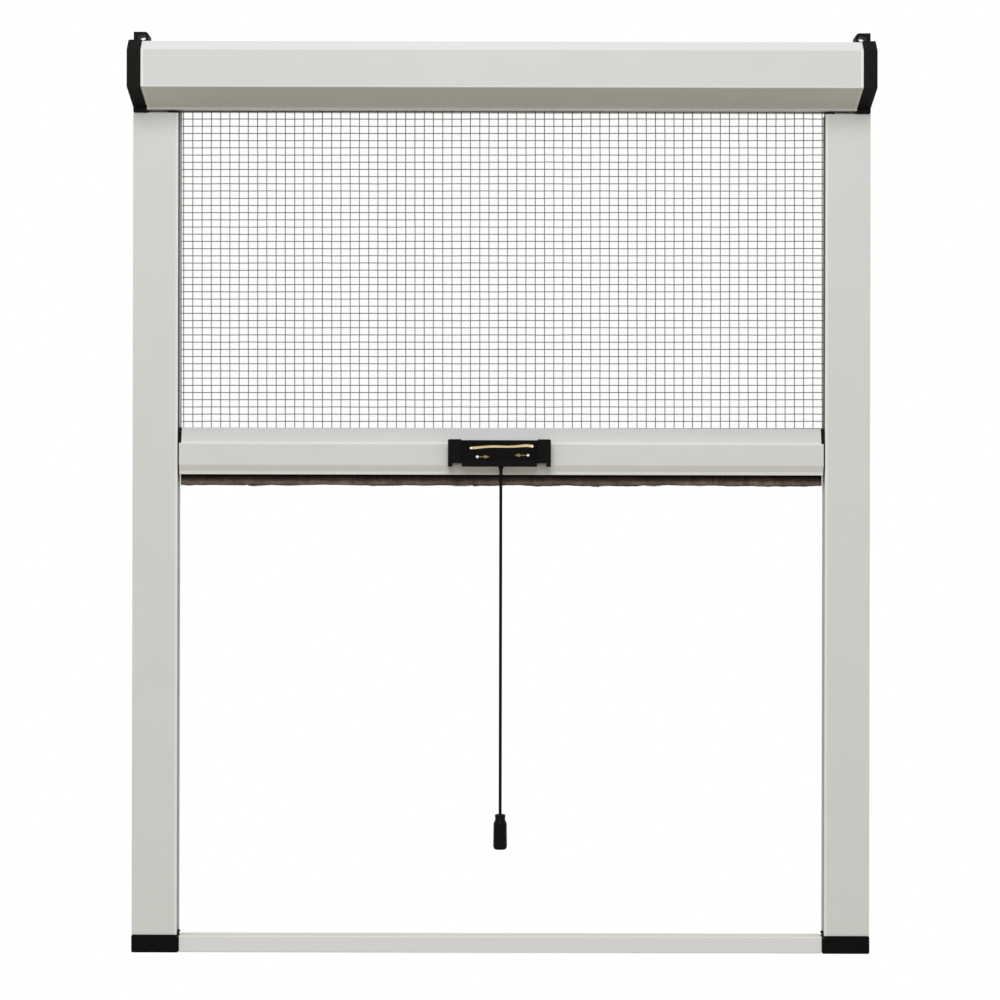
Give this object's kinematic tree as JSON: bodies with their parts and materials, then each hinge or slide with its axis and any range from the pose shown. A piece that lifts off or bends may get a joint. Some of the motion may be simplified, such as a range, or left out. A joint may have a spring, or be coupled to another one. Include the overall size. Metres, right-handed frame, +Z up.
{
  "type": "roller insect screen for a window",
  "caption": "Retractable window screen: cassette with a spring roller, side guides, sill bar and a pull bar with handle, brush and pull cord on a fine mesh",
  "frame": {"origin": "midway between the screw slots of the two lugs, in the screen's back plane", "axes": "+X along the cassette to the viewer's right, +Y into the wall behind the screen, +Z up"},
  "size_m": [0.56, 0.0428, 0.6991],
  "materials": {
    "lacquered_profile": "satin lacquer",
    "black_plastic": "satin moulded",
    "handle_gloss": "gloss",
    "inner_plastic": "moulded",
    "knob_plastic": "satin moulded",
    "ferrule_metal": "moulded",
    "pile": "woven pile",
    "brush": "bristles",
    "mesh": "coated yarn",
    "keder_plastic": "extruded",
    "roller_metal": "drawn",
    "spring_steel": "drawn wire",
    "screw_steel": "zinc plated",
    "cord": "braided"
  },
  "bodies": {
    "frame": {"cassette_profile": "lacquered_profile", "end_cap_left": "black_plastic", "end_cap_right": "black_plastic", "cap_screws": "screw_steel", "side_guide_left": "lacquered_profile", "guide_pile_left_front": "pile", "guide_pile_left_back": "pile", "foot_left": "black_plastic", "side_guide_right": "lacquered_profile", "guide_pile_right_front": "pile", "guide_pile_right_back": "pile", "foot_right": "black_plastic", "sill_bar": "lacquered_profile", "spring_rod": "spring_steel", "spring_anchor": "inner_plastic", "torsion_spring": "spring_steel"},
    "roller": {"roller_tube": "roller_metal", "mesh_roll": "mesh", "roller_bush": "inner_plastic", "spring_head": "inner_plastic"},
    "bar": {"screen_mesh": "mesh", "pull_bar": "lacquered_profile", "bar_plug_left": "black_plastic", "bar_plug_right": "black_plastic", "mesh_keder": "keder_plastic", "bar_brush": "brush", "handle_grip": "black_plastic", "handle_plate": "handle_gloss", "pull_cord": "cord", "cord_ferrule": "ferrule_metal", "cord_knob": "knob_plastic", "cord_knot": "cord"}
  },
  "joints": [
    {"name": "bar_slide", "type": "slide", "parent": "frame", "child": "bar", "axis": [0, 0, 1], "range_m": [-0.3408, 0.238], "deforming": ["screen_mesh"]},
    {"name": "roller_turn", "type": "hinge", "parent": "frame", "child": "roller", "pos_m": [0, -0.01864, -0.0316], "axis": [1, 0, 0], "range_deg": [-1778, 1245]}
  ],
  "couplings": [
    {"joint": "roller_turn", "follows": "bar_slide", "rad_per_m": 90.909}
  ]
}
